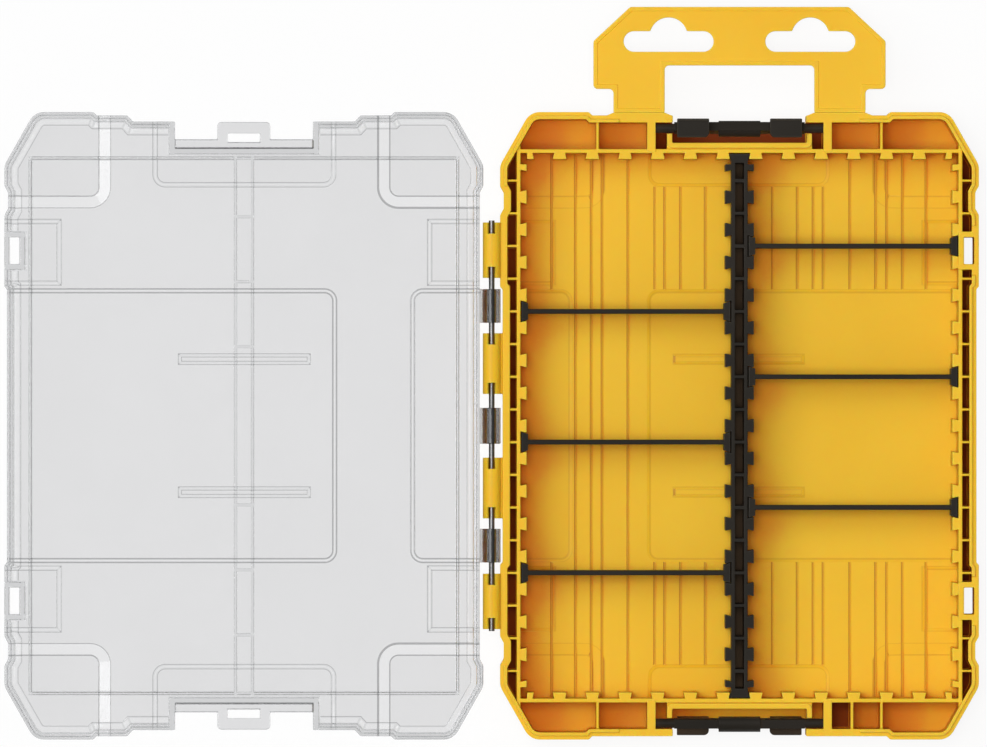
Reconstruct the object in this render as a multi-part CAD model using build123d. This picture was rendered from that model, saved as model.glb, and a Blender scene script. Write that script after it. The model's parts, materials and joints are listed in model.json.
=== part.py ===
from build123d import *
import math
import os

# A flat organiser case for saw blades and bits, lying open. The origin is the
# middle of the tray's underside: +X away from the hinge, +Y towards the hang tab.

# ---- case outline, seen from above (mm) ----
case_width = 171.7
case_length = 225.0
corner_run = 10.8
corner_rise = 19.0
corner_radius = 6.0
corner_land = 7.5
waist_length = 10.5
waist_depth = 1.3
waist_slope = 2.4
bulge_length = 26.5
side_step = 0.9
shoulder_x = 54.0
shoulder_step = 1.2

# ---- tray ----
tray_height = 32.0
floor_thickness = 2.4
tray_wall = 2.6
shelf_width = 1.4
tongue_height = 1.6
bay_side_gap = 7.35
bay_end_gap = 14.7
bay_wall = 1.4
bay_drop = 0.4
rib_thickness = 0.8
pocket_rib_x = 50.9
pocket_rib_thickness = 1.0
extra_rib_x = 40.3

# ---- sockets for the dividers ----
pitch = 11.72
tooth_root = 3.75
tooth_tip = 5.0
tooth_depth = 2.2
divider_fit = 0.3

# ---- dividers ----
core_width = 5.9
core_wall = 1.4
core_floor = 1.5
web_thickness = 1.2
blade_thickness = 1.7
wedge_collar = 0.5
left_sockets = (3.5, -0.5, -4.5)
right_sockets = (5.5, 1.5, -2.5)

# ---- latch recess in both ends of the tray ----
recess_width = 60.2
recess_wall = 3.0
recess_back = 11.1
latch_opening = 47.8
pocket_arm = 1.8
arm_step = 0.3
pocket_arm_reach = 3.4
rail_drop = 1.6
arm_radius = 0.6
ledge_height = 16.0
ledge_depth = 4.2

# ---- latches ----
pivot_inset = 5.8
pivot_drop = 3.5
bar_radius = 1.7
bar_fit = 0.1
bar_engagement = 1.2
latch_width = 46.8
spine_height = 3.1
arm_outer_x = 22.4
arm_inner_x = 10.9
arm_face = 1.5
arm_thickness = 2.4
arm_chamfer_height = 1.2
arm_chamfer_depth = 0.9
arm_back_relief = 0.3
hook_reach = 5.3
hook_gap = 0.3
hook_nose = 1.0
hook_rise = 1.8
hook_radius = 1.8
barrel_radius = 3.1
barrel_half_width = 7.5
barrel_flat = 2.2
latch_top_angle = 16.0
latch_bottom_angle = 188.0

# ---- lid ----
closing_gap = 0.3
lid_height = 18.8
lid_wall = 2.2
lid_top = 2.2
lid_cove = 2.2
lip_thickness = 1.1
rebate_depth = 2.2
lid_end_x = 39.8
lid_end_slope = 2.0
lid_end_step = 2.2
keeper_width = 49.5
keeper_back = 12.9
keeper_reach = 3.1
keeper_thickness = 1.8
tab_width = 19.0
tab_reach = 9.3
tab_slot_width = 11.5
tab_slot_height = 3.1
tab_slot_inset = 5.65
tab_radius = 1.5
rim_rib_inset_x = 8.7
rim_rib_inset_y = 16.0
lid_rib = 1.0
lid_rib_stop = 0.6
centre_rib_x = 3.05
rung_first = 28.4
rung_pitch = 23.3
rung_count = 3

# ---- shallow steps in the flat faces of both halves, each with a sloping border ----
pad_depth = 0.6
panel_depth = 0.5
pad_corner_width = 37.8
pad_corner_length = 34.25
pad_latch_width = 65.2
pad_latch_length = 26.5
pad_side_width = 19.85
pad_side_margin = 1.6
pad_inner_radius = 3.1
step_slope = 1.1
corner_inner_radius = 3.2
corner_slope = 4.2
back_panel_width = 25.95
band_width = 26.9
groove_half = 23.5
groove_y = 23.9
groove_width = 3.4
groove_slope = 0.7
floor_relief = 0.3
ridge_x = (12.1, 21.0, 26.7, 30.3, 39.9, 49.2, 53.1, 58.8, 67.3)
ridge_width = 0.7
ridge_height = 0.3

# ---- hinge ----
hinge_offset = 3.0
knuckle_radius = 3.2
pin_radius = 1.04
pin_fit = 0.06
pin_overhang = 0.7
lid_knuckle_middle = 12.9
lid_knuckle_outer = 12.1
tray_knuckle_inner = 21.8
tray_knuckle_outer = 19.9
knuckle_gap_inner = 4.95
knuckle_gap_middle = 3.7
knuckle_gap_outer = 4.0
knuckle_slot_width = 2.9
knuckle_slot_length = 4.0
web_drop = 0.8

# ---- slots through the front edge ----
edge_slot_width = 3.6
edge_slot_length = 9.6
edge_slot_inset = 3.55
edge_slot_offset = 13.8
boss_margin = 2.0

# ---- hang tab ----
tab_plate = 2.0
tab_plate_drop = 0.3
foot_reach = 1.0
foot_flare = 2.4
hang_half_width = 52.4
hang_top = 37.7
hang_foot = 8.25
hang_corner_x = 13.2
hang_corner_y = 12.3
hang_ear = 7.2
leg_inner_x = 26.8
hang_window = 16.7
hang_radius = 1.6
peg_spacing = 50.8
peg_slot_length = 32.2
peg_slot_width = 7.35
peg_drop = 12.4
peg_bump_radius = 6.75
peg_bump_rise = 1.85
rim_width = 1.5
rim_height = 0.4

# ---- how far cuts run past a face, and how far joined shapes reach into each other ----
over = 1.0
sunk = 0.5

# ---- worked out from the above ----
half_width = case_width / 2
half_length = case_length / 2
waist_end = half_length - corner_rise - corner_land
waist_start = waist_end - waist_length
bulge_start = waist_start - bulge_length
edge_slot_y = bulge_start + edge_slot_offset
bay_x = half_width - bay_side_gap
bay_y = half_length - bay_end_gap
bay_top = tray_height - bay_drop
end_face = half_length - shoulder_step
foot_face = end_face + foot_reach
leg_outer_x = hang_half_width - hang_ear
back_panel_edge = -half_width + back_panel_width
front_panel_edge = back_panel_edge + band_width
latch_pad_x = pad_latch_width / 2
latch_pad_y = half_length - pad_latch_length
lid_end_face = end_face - lid_end_step
recess_back_y = half_length - recess_back
pivot_y = half_length - pivot_inset
pivot_z = tray_height - pivot_drop
hinge_x = -half_width - hinge_offset
hinge_z = tray_height + closing_gap / 2
lid_rim = tray_height + closing_gap
lid_face = lid_rim + lid_height
keeper_back_y = half_length - keeper_back
keeper_top = lid_rim + keeper_thickness
teeth_along_side = int((bay_y - tooth_depth - divider_fit) / pitch) - 1
teeth_along_end = int((bay_x - tooth_depth) / pitch - 0.5)
inner_knuckle_start = lid_knuckle_middle / 2 + knuckle_gap_inner
inner_knuckle_end = inner_knuckle_start + tray_knuckle_inner
lid_knuckle_start = inner_knuckle_end + knuckle_gap_middle
lid_knuckle_end = lid_knuckle_start + lid_knuckle_outer
outer_knuckle_start = lid_knuckle_end + knuckle_gap_outer
outer_knuckle_end = outer_knuckle_start + tray_knuckle_outer
root = floor_thickness / 2


def block(x0, x1, y0, y1, z0, z1):
    """Box between two corners, given as ranges along X, Y and Z."""
    size = (abs(x1 - x0), abs(y1 - y0), abs(z1 - z0))
    return Pos((x0 + x1) / 2, (y0 + y1) / 2, (z0 + z1) / 2) * Box(*size)


def prism(face, z0, z1):
    """A flat face in plan raised from z0 to z1."""
    return extrude(Pos(0, 0, z0) * face, amount=z1 - z0, dir=(0, 0, 1))


def inset(plan, amount):
    """The outline moved inwards by this much, its corners kept sharp."""
    return offset(plan, -amount, kind=Kind.INTERSECTION)


def polygon(points):
    """Flat face with these corners."""
    return make_face(Polyline(*points, close=True))


def both_ends(shape):
    """A feature of the +Y end together with its mirror image at the other end."""
    return [shape, mirror(shape, about=Plane.XZ)]


def both_sides(shape):
    """A feature of the +X side together with its mirror image."""
    return [shape, mirror(shape, about=Plane.YZ)]


def rounded_plate(x0, x1, y0, y1, radius):
    """Rectangle in plan with rounded corners."""
    plate = RectangleRounded(abs(x1 - x0), abs(y1 - y0), radius)
    return Pos((x0 + x1) / 2, (y0 + y1) / 2) * plate


# ---- outline shared by the two halves ----


def flank(plain):
    """Corners of a quarter of the outline, from side to end; a plain flank stays at the waist."""
    waist = half_width - waist_depth
    side = [
        (half_width - side_step, bulge_start),
        (half_width, bulge_start + side_step),
        (half_width, waist_start),
        (waist, waist_start + waist_slope),
    ]
    rest = [
        (waist, waist_end - waist_slope),
        (half_width, waist_end),
        (half_width, half_length - corner_rise),
        (half_width - corner_run, half_length),
        (shoulder_x, half_length),
        (shoulder_x - shoulder_step, end_face),
    ]
    return rest if plain else side + rest


def case_plan(lid=False):
    """Outline in plan with its sloping corners rounded; the lid's is set back at its ends and hinge."""
    right = flank(False)
    left = flank(lid)
    if lid:
        step = [(lid_end_x + lid_end_slope, end_face), (lid_end_x, lid_end_face)]
        right += step
        left += step
    points = [(x, y) for x, y in right]
    points += [(-x, y) for x, y in reversed(left)]
    points += [(-x, -y) for x, y in left]
    points += [(x, -y) for x, y in reversed(right)]
    plan = polygon(points)
    inner = half_width - corner_run
    outer = half_length - corner_rise
    corners = [
        v
        for v in plan.vertices()
        if (abs(abs(v.X) - inner) < 0.01 and abs(v.Y) > outer)
        or (abs(abs(v.Y) - outer) < 0.01 and abs(v.X) > inner)
    ]
    return fillet(corners, corner_radius)


def mound(x0, x1, y0, y1, inner_radius, slope, z_wide, z_narrow):
    """Rounded rectangle whose full size is at z_wide and whose sides slope in towards z_narrow."""
    wide = rounded_plate(x0, x1, y0, y1, inner_radius + slope)
    narrow = rounded_plate(x0 + slope, x1 - slope, y0 + slope, y1 - slope, inner_radius)
    return loft([Pos(0, 0, z_wide) * wide, Pos(0, 0, z_narrow) * narrow], ruled=True)


def square_mound(x0, x1, y0, y1, slope, z_wide, z_narrow):
    """The same with square corners."""
    sections = []
    for z, inwards in ((z_wide, 0), (z_narrow, slope)):
        plate = Rectangle(x1 - x0 - 2 * inwards, y1 - y0 - 2 * inwards)
        sections.append(Pos((x0 + x1) / 2, (y0 + y1) / 2, z) * plate)
    return loft(sections, ruled=True)


def pads(z_wide, z_narrow):
    """Pads at the corners, sides and latches of a flat face."""
    reach_x = case_width
    reach_y = case_length
    corner_x = half_width - pad_corner_width
    corner_y = half_length - pad_corner_length
    side_x = half_width - pad_side_width
    y0, y1 = bulge_start + pad_side_margin, waist_start - pad_side_margin
    corner = mound(
        corner_x, reach_x, corner_y, reach_y, corner_inner_radius, corner_slope, z_wide, z_narrow
    )
    side = square_mound(side_x, reach_x, y0, y1, step_slope, z_wide, z_narrow)
    latch = mound(
        -latch_pad_x, latch_pad_x, latch_pad_y, reach_y, pad_inner_radius, step_slope, z_wide, z_narrow
    )
    shapes = both_ends(latch)
    for pad in (corner, side):
        for shape in both_sides(pad):
            shapes += both_ends(shape)
    return shapes


def panels(z_wide, z_narrow):
    """The two wide panels in the middle of a flat face, with two bars across the larger one."""
    y = bulge_start
    back = mound(
        -case_width, back_panel_edge, -y, y, pad_inner_radius, step_slope, z_wide, z_narrow
    )
    front = mound(
        front_panel_edge, case_width, -y, y, pad_inner_radius, step_slope, z_wide, z_narrow
    )
    bars = []
    for middle in (groove_y, -groove_y):
        y0, y1 = middle - groove_width / 2, middle + groove_width / 2
        bars.append(square_mound(-groove_half, groove_half, y0, y1, groove_slope, z_narrow, z_wide))
    return [front - bars, back]


def field(z0, z1):
    """A slab wider than the case."""
    return block(-case_width, case_width, -case_length, case_length, z0, z1)


def underside_relief():
    """Cut from the tray's underside: pads and panels stand proud of it to carry the case."""
    return field(0, pad_depth) - pads(pad_depth, 0) - panels(pad_depth, 0)


def floor_steps():
    """Raised on the tray's floor wherever its underside is cut back, so that the wall stays even."""
    low, high = floor_thickness, floor_thickness + floor_relief
    raised = block(-bay_x, bay_x, -bay_y, bay_y, root, high)
    return raised - pads(high, low) - panels(high, low)


def floor_ridges():
    """Fine ridges along the tray's floor: the length of the band between the panels, else at the ends."""
    top = floor_thickness + floor_relief + ridge_height
    half = ridge_width / 2
    ridges = []
    for x in ridge_x:
        end = latch_pad_y if x < latch_pad_x else bay_y
        ridge = block(x - half, x + half, bulge_start, end, root, top)
        for shape in both_sides(ridge):
            ridges += both_ends(shape)
        if back_panel_edge < -x < front_panel_edge:
            ridges.append(block(-x - half, -x + half, -bulge_start, bulge_start, root, top))
    return ridges


def lid_relief():
    """Cut from the lid's outer face: pads stand proud and the panels of a case on top drop in."""
    step = lid_face - pad_depth
    return [field(step, lid_face) - pads(step, lid_face)] + panels(step, step - panel_depth)


# ---- dovetail sockets ----


def tooth(width):
    """Plan of one dovetail tooth standing on the X axis and pointing along +Y, whole or its right half."""
    base, tip = tooth_root / 2, tooth_tip / 2
    left = -1 if width == "whole" else 0
    return polygon(
        [(left * base, -sunk), (base, -sunk), (tip, tooth_depth), (left * tip, tooth_depth)]
    )


def side_teeth(x, facing, z0, z1):
    """Row of teeth along a face at x that point to the side of facing, with half a tooth at each end."""
    row = []
    for n in range(-teeth_along_side, teeth_along_side + 1):
        row.append(prism(Pos(0, n * pitch) * Rot(0, 0, -90) * tooth("whole"), z0, z1))
    end = Pos(0, (teeth_along_side + 1) * pitch) * Rot(0, 0, -90) * tooth("half")
    row += both_ends(prism(end, z0, z1))
    if facing < 0:
        row = [mirror(shape, about=Plane.YZ) for shape in row]
    return [Pos(x, 0, 0) * shape for shape in row]


def end_teeth(z0, z1):
    """Row of teeth along the +Y end wall of the bay, with half a tooth in each corner."""
    teeth = []
    for n in range(teeth_along_end):
        plan = Pos((n + 0.5) * pitch, bay_y) * Rot(0, 0, 180) * tooth("whole")
        teeth += both_sides(prism(plan, z0, z1))
    corner = (teeth_along_end + 0.5) * pitch
    plan = Pos(corner, bay_y) * Rot(0, 0, 180) * tooth("half")
    return teeth + both_sides(prism(plan, z0, z1))


def wedge(wall, facing):
    """Plan of a divider's end that drops between two teeth of the wall at x = wall, on its facing side."""
    open_half = (pitch - tooth_root) / 2 - divider_fit
    neck_half = (pitch - tooth_tip) / 2 - divider_fit
    near = wall + facing * divider_fit
    tip = wall + facing * tooth_depth
    collar = tip + facing * wedge_collar
    return polygon(
        [
            (near, -open_half),
            (tip, -neck_half),
            (collar, -neck_half),
            (collar, neck_half),
            (tip, neck_half),
            (near, open_half),
        ]
    )


# ---- tray ----


def tray_floor_and_walls():
    """Floor, outer wall with its tongue, and the upright walls of the bay."""
    plan = case_plan()
    inside = inset(plan, tray_wall)
    ledge = inset(plan, shelf_width)
    shell = prism(plan, 0, tray_height) - prism(inside, floor_thickness, tray_height)
    tongue_top = tray_height + tongue_height
    tongue = prism(ledge, tray_height, tongue_top) - prism(inside, tray_height, tongue_top)
    gap = lid_end_x + lid_end_slope + shelf_width
    tongue -= block(-half_width, -bay_x, -waist_end, waist_end, tray_height, tongue_top)
    tongue -= block(-gap, gap, -half_length, half_length, tray_height, tongue_top)
    boss = edge_slot_length / 2 + 2 * boss_margin
    for y in (edge_slot_y, -edge_slot_y):
        tongue -= block(bay_x, half_width, y - boss, y + boss, tray_height, tongue_top)
    x, y = bay_x + bay_wall, bay_y + bay_wall
    bay = block(-x, x, -y, y, root, bay_top) - block(-bay_x, bay_x, -bay_y, bay_y, root, bay_top)
    wing = block(bay_x, x, bay_y, half_length, root, bay_top) & prism(inside, root, bay_top)
    wings = []
    for shape in both_sides(wing):
        wings += both_ends(shape)
    return shell + [tongue, bay] + wings, inside


def gap_ribs(inside):
    """Thin ribs across the narrow gaps beside the bay, and across the pockets at its ends."""
    ribs = []
    count = int((half_length - corner_rise) / pitch + 0.5)
    half = rib_thickness / 2
    for n in range(count):
        y = (n + 0.5) * pitch
        rib = block(bay_x + sunk, half_width, y - half, y + half, root, bay_top)
        for shape in both_ends(rib):
            ribs += both_sides(shape)
    half = pocket_rib_thickness / 2
    inner = bay_y + sunk
    rib = block(pocket_rib_x - half, pocket_rib_x + half, inner, half_length, root, bay_top)
    for shape in both_sides(rib):
        ribs += both_ends(shape)
    x0, x1 = extra_rib_x - half, extra_rib_x + half
    ribs.append(block(x0, x1, -half_length, -inner, root, bay_top))
    room = prism(inside, 0, tray_height)
    return [rib & room for rib in ribs]


def recess_walls():
    """Cheeks that carry the latch bar, and the low wall behind the latch with a rail that wraps round it."""
    inner = recess_width / 2
    reach = end_face - tray_wall / 2
    start = bay_y + sunk
    cheek = block(inner, inner + recess_wall, start, reach, root, tray_height)
    arm_in = latch_opening / 2 + arm_step
    arm_out = arm_in + pocket_arm
    tip = recess_back_y + pocket_arm_reach
    back = block(-arm_out, arm_out, start, recess_back_y, root, tray_height - rail_drop)
    outside = rounded_plate(
        -arm_out, arm_out, recess_back_y - pocket_arm, tip + 2 * pocket_arm, arm_radius + pocket_arm
    )
    inside = rounded_plate(-arm_in, arm_in, recess_back_y, tip + 2 * pocket_arm, arm_radius)
    beyond = block(-arm_out, arm_out, tip, tip + 2 * pocket_arm, root, tray_height)
    rail = prism(outside - inside, root, tray_height) - beyond
    return [back, rail] + both_sides(cheek)


def tab_feet():
    """Thicker stretches of the +Y end wall that the legs of the hang tab stand on."""
    plan = polygon(
        [
            (leg_inner_x - foot_flare, end_face - tray_wall / 2),
            (leg_inner_x - foot_flare, end_face),
            (leg_inner_x, foot_face),
            (leg_outer_x, foot_face),
            (leg_outer_x + foot_flare, end_face),
            (leg_outer_x + foot_flare, end_face - tray_wall / 2),
        ]
    )
    return both_sides(prism(plan, root, tray_height))


def recess_cuts():
    """What is cut away at the +Y end so that the latch can swing: the opening and the bar's bores."""
    half = latch_opening / 2
    top = tray_height + tongue_height + over
    ledge_y = recess_back_y + ledge_depth
    opening = block(-half, half, recess_back_y, half_length + over, -over, top)
    ledge = block(-half, half, recess_back_y, ledge_y, -over, ledge_height)
    bar = bar_radius + bar_fit
    reach = recess_width / 2 + bar_engagement + divider_fit
    bore = Pos(0, pivot_y, pivot_z) * Rot(0, 90, 0) * Cylinder(bar, 2 * reach)
    return [opening - ledge, bore]


def edge_boss(y, z0, z1):
    """Solid block around one slot in the front edge."""
    x = half_width - edge_slot_inset
    half_x = edge_slot_width / 2 + boss_margin
    half_y = edge_slot_length / 2 + boss_margin
    return block(x - half_x, half_width - sunk, y - half_y, y + half_y, z0, z1)


def edge_slot(y, z0, z1):
    """The slot itself."""
    x = half_width - edge_slot_inset
    half_x = edge_slot_width / 2
    half_y = edge_slot_length / 2
    return block(x - half_x, x + half_x, y - half_y, y + half_y, z0, z1)


def knuckle(y0, y1, wall_x, rise):
    """One knuckle about the hinge line with a web to the wall, above the line if rise is 1, below if -1."""
    barrel = Pos(hinge_x, (y0 + y1) / 2, hinge_z) * Rot(90, 0, 0) * Cylinder(
        knuckle_radius, y1 - y0
    )
    web = block(
        hinge_x, wall_x, y0, y1, hinge_z + rise * web_drop, hinge_z + rise * knuckle_radius
    )
    return barrel + web


def knuckle_slots(y0, y1):
    """Openings over the pin at both ends of a tray knuckle."""
    half = knuckle_slot_width / 2
    top = hinge_z + knuckle_radius + over
    length = knuckle_slot_length
    return [
        block(hinge_x - half, hinge_x + half, y0, y0 + length, hinge_z, top),
        block(hinge_x - half, hinge_x + half, y1 - length, y1, hinge_z, top),
    ]


def pin_bore():
    """Hole along the whole hinge line."""
    return Pos(hinge_x, 0, hinge_z) * Rot(90, 0, 0) * Cylinder(
        pin_radius + pin_fit, case_length
    )


def make_tray():
    """Lower half: walls, sockets, ribs, latch recesses, slots and hinge knuckles."""
    shell, inside = tray_floor_and_walls()
    pieces = gap_ribs(inside) + [floor_steps()] + floor_ridges() + tab_feet()
    for wall, facing in ((-bay_x, 1), (bay_x, -1)):
        pieces += side_teeth(wall, facing, root, bay_top)
    for shape in end_teeth(root, bay_top):
        pieces += both_ends(shape)
    for shape in recess_walls():
        pieces += both_ends(shape)
    for y in (edge_slot_y, -edge_slot_y):
        pieces.append(edge_boss(y, root, tray_height))
    wall_x = -half_width + side_step + tray_wall / 2
    spans = [(inner_knuckle_start, inner_knuckle_end), (outer_knuckle_start, outer_knuckle_end)]
    spans += [(-y1, -y0) for y0, y1 in spans]
    pieces += [knuckle(y0, y1, wall_x, -1) for y0, y1 in spans]
    tray = shell + pieces
    cuts = [pin_bore()]
    for y0, y1 in spans:
        cuts += knuckle_slots(y0, y1)
    for shape in recess_cuts():
        cuts += both_ends(shape)
    for y in (edge_slot_y, -edge_slot_y):
        cuts.append(edge_slot(y, -over, tray_height + over))
    cuts.append(underside_relief())
    return tray - cuts


# ---- hang tab ----


def peg_hole():
    """Plan of one hole for a peg hook: a long slot with a round notch above its middle."""
    slot = SlotOverall(peg_slot_length, peg_slot_width)
    bump = Pos(0, peg_bump_rise) * Circle(peg_bump_radius)
    keep = Pos(0, peg_bump_radius + peg_bump_rise) * Rectangle(
        2 * peg_bump_radius, 2 * (peg_bump_radius + peg_bump_rise)
    )
    return slot + (bump & keep)


def hang_plan():
    """Outline of the hang tab with its corners left sharp: a wide bar with sloping corners on two legs."""
    top = half_length + hang_top
    foot = half_length + hang_foot
    sill = half_length + hang_window
    half = [
        (hang_half_width - hang_corner_x, top),
        (hang_half_width, top - hang_corner_y),
        (hang_half_width, foot),
        (leg_outer_x, foot),
        (leg_outer_x, foot_face),
        (leg_inner_x, foot_face),
        (leg_inner_x, sill),
    ]
    return polygon(half + [(-x, y) for x, y in reversed(half)])


def make_hang_tab():
    """Flat tab that hangs the case on two peg hooks, its field a little lower than its rim."""
    sharp = hang_plan()
    plan = fillet([v for v in sharp.vertices() if v.Y > foot_face + over], hang_radius)
    z1 = tray_height - tab_plate_drop + rim_height
    z0 = z1 - rim_height - tab_plate
    low = prism(inset(sharp, rim_width), z1 - rim_height, z1 + over)
    tab = prism(plan, z0, z1)
    y = half_length + hang_top - peg_drop
    cuts = [low]
    for x in (-peg_spacing / 2, peg_spacing / 2):
        cuts.append(prism(Pos(x, y) * peg_hole(), z0 - over, z1 + over))
    return tab - cuts


# ---- lid, modelled shut and then opened flat ----


def keeper():
    """Step at the +Y end of the lid that the latch hooks grip, with its slotted tab."""
    half = keeper_width / 2
    side = half + lid_wall
    inner_y = keeper_back_y - lid_wall
    edge = keeper_back_y + keeper_reach
    tip = keeper_back_y + tab_reach
    wall = block(-side, side, inner_y, keeper_back_y, lid_rim, lid_face)
    cheek = block(half, side, inner_y, lid_end_face - lid_wall / 2, lid_rim, lid_face)
    flange = block(-side, side, inner_y, edge, lid_rim, keeper_top)
    plate = rounded_plate(
        -tab_width / 2, tab_width / 2, keeper_back_y - tab_radius, tip, tab_radius
    )
    slot_y = tip - tab_slot_inset + tab_slot_height / 2
    slot = block(
        -tab_slot_width / 2,
        tab_slot_width / 2,
        slot_y - tab_slot_height,
        slot_y,
        lid_rim - over,
        keeper_top + over,
    )
    tab = prism(plate, lid_rim, keeper_top)
    return (wall + flange + tab + both_sides(cheek)) - slot


def lid_ribs():
    """Ribs inside the lid: one round the bay and two beside the centre divider, joined by short rungs."""
    z0 = lid_rim + lid_rib_stop
    z1 = lid_face - lid_top / 2
    x = half_width - rim_rib_inset_x
    y = half_length - rim_rib_inset_y
    ring = block(-x, x, -y, y, z0, z1)
    ring -= block(-x + lid_rib, x - lid_rib, -y + lid_rib, y - lid_rib, z0, z1)
    half = lid_rib / 2
    rail = block(centre_rib_x - half, centre_rib_x + half, -y, y, z0, z1)
    ribs = [ring] + both_sides(rail)
    for n in range(rung_count):
        at = rung_first + n * rung_pitch
        rung = block(-centre_rib_x, centre_rib_x, at - half, at + half, z0, z1)
        ribs += both_ends(rung)
    return ribs


def make_lid():
    """Clear half, opened flat about the hinge line."""
    plan = case_plan(lid=True)
    cavity = inset(plan, lid_wall)
    rim = inset(plan, lip_thickness)
    room = prism(cavity, lid_rim, lid_face - lid_top)
    room = chamfer(room.faces().sort_by(Axis.Z)[-1].edges(), lid_cove)
    shell = prism(plan, lid_rim, lid_face) - room
    shell -= prism(rim, lid_rim, lid_rim + rebate_depth)
    notch = keeper_width / 2
    notches = both_ends(
        block(-notch, notch, keeper_back_y, half_length + over, lid_rim - over, lid_face + over)
    )
    shell -= notches
    pieces = both_ends(keeper()) + lid_ribs()
    for y in (edge_slot_y, -edge_slot_y):
        pieces.append(edge_boss(y, lid_rim, lid_face - lid_top / 2))
    wall_x = -half_width + waist_depth + lid_wall / 2
    middle = lid_knuckle_middle / 2
    spans = [(-middle, middle), (lid_knuckle_start, lid_knuckle_end)]
    spans.append((-lid_knuckle_end, -lid_knuckle_start))
    pieces += [knuckle(y0, y1, wall_x, 1) for y0, y1 in spans]
    lid = shell + pieces
    cuts = [pin_bore()]
    for y in (edge_slot_y, -edge_slot_y):
        cuts.append(edge_slot(y, lid_rim - over, lid_face + over))
    cuts += lid_relief()
    lid -= cuts
    return lid.rotate(Axis((hinge_x, 0, hinge_z), (0, 1, 0)), 180)


# ---- hinge pin ----


def make_hinge_pin():
    """One straight steel pin through every knuckle."""
    length = 2 * (outer_knuckle_end + pin_overhang)
    return Pos(hinge_x, 0, hinge_z) * Rot(90, 0, 0) * Cylinder(pin_radius, length)


# ---- latches ----


def latch_arm():
    """One hooked arm: a side profile about a pivot at the origin, +Y outwards, extruded along X.

    The corner of its hook next to the lid's tab is rounded in plan.
    """
    gap_above_keeper = keeper_top - pivot_z + hook_gap
    inner = arm_face - arm_thickness
    top = gap_above_keeper + hook_nose + hook_rise
    points = [
        (arm_face, 0),
        (arm_face, top - arm_chamfer_height),
        (arm_face - arm_chamfer_depth, top),
        (inner + arm_back_relief, top),
        (-hook_reach, gap_above_keeper + hook_nose),
        (-hook_reach, gap_above_keeper),
        (inner, gap_above_keeper),
        (inner, 0),
    ]
    profile = Plane.YZ * polygon(points)
    arm = Pos(arm_inner_x, 0, 0) * extrude(profile, amount=arm_outer_x - arm_inner_x, dir=(1, 0, 0))
    rounded = rounded_plate(
        arm_inner_x, arm_outer_x + 2 * hook_radius, -hook_reach, arm_face + 2 * hook_radius, hook_radius
    )
    return arm & prism(rounded, 0, top)


def latch_body():
    """Latch shut and upright about a pivot at the origin: bar, spine, middle barrel and two hooked arms."""
    along_x = Rot(0, 90, 0)
    bar = along_x * Cylinder(bar_radius, recess_width + 2 * bar_engagement)
    half = latch_width / 2
    spine = block(-half, half, -bar_radius, arm_face, -bar_radius, spine_height)
    barrel = along_x * Cylinder(barrel_radius, 2 * barrel_half_width)
    barrel -= block(
        -barrel_half_width,
        barrel_half_width,
        barrel_flat,
        barrel_flat + barrel_radius,
        -barrel_radius,
        barrel_radius,
    )
    return bar + [spine, barrel] + both_sides(latch_arm())


def make_latch(end, opened):
    """Latch of the +Y end (end = 1) or the -Y end (end = -1), swung open by the given degrees."""
    latch = Rot(-opened, 0, 0) * latch_body()
    placed = Pos(0, pivot_y, pivot_z) * latch
    if end < 0:
        placed = Rot(0, 0, 180) * placed
    return placed


# ---- dividers ----


def divider_bottom():
    """Height of the underside of every divider."""
    return floor_thickness + floor_relief + ridge_height + divider_fit


def make_centre_divider():
    """Hollow spine with a row of teeth down each side and a wedge at each end."""
    z0 = divider_bottom()
    half = core_width / 2
    reach = bay_y - tooth_depth
    spine = block(-half, half, -reach, reach, z0, bay_top)
    pieces = []
    for wall, facing in ((half, 1), (-half, -1)):
        pieces += side_teeth(wall, facing, z0, bay_top)
    end = Rot(0, 0, 90) * wedge(-bay_y, 1)
    pieces += both_ends(prism(end, z0, bay_top))
    spine = spine + pieces
    hollow = half - core_wall
    cells = []
    for n in range(-teeth_along_side - 1, teeth_along_side + 2):
        y = n * pitch
        run = (pitch - web_thickness) / 2
        cells.append(block(-hollow, hollow, y - run, y + run, z0 + core_floor, bay_top + over))
    room = block(-hollow, hollow, -reach + core_wall, reach - core_wall, z0, bay_top + over)
    return spine - [cell & room for cell in cells]


def make_cross_divider(socket, side):
    """Thin blade from the bay wall to the spine with a wedge at each end; side is -1 by the hinge."""
    z0 = divider_bottom()
    outer = side * bay_x
    inner = side * core_width / 2
    half = blade_thickness / 2
    start = outer - side * (divider_fit + tooth_depth / 2)
    stop = inner + side * (divider_fit + tooth_depth / 2)
    blade = block(min(start, stop), max(start, stop), -half, half, z0, bay_top)
    wedges = [
        prism(wedge(outer, -side), z0, bay_top),
        prism(wedge(inner, side), z0, bay_top),
    ]
    return Pos(0, socket * pitch, 0) * (blade + wedges)


# ---- write every piece ----


def build():
    """Name and shape of every piece."""
    pieces = {
        "tray": make_tray(),
        "hang_tab": make_hang_tab(),
        "lid": make_lid(),
        "hinge_pin": make_hinge_pin(),
        "latch_top": make_latch(1, latch_top_angle),
        "latch_bottom": make_latch(-1, latch_bottom_angle),
        "centre_divider": make_centre_divider(),
    }
    for n, socket in enumerate(left_sockets, start=1):
        pieces[f"cross_divider_left_{n}"] = make_cross_divider(socket, -1)
    for n, socket in enumerate(right_sockets, start=1):
        pieces[f"cross_divider_right_{n}"] = make_cross_divider(socket, 1)
    return pieces


os.makedirs("parts", exist_ok=True)
for name, shape in build().items():
    export_step(shape, f"parts/{name}.step")
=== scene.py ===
"""Looks of the saw blade storage case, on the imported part: moulded edges, finishes, light and camera."""

from __future__ import annotations

import json
import logging
import math
from dataclasses import dataclass
from enum import Enum

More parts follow.
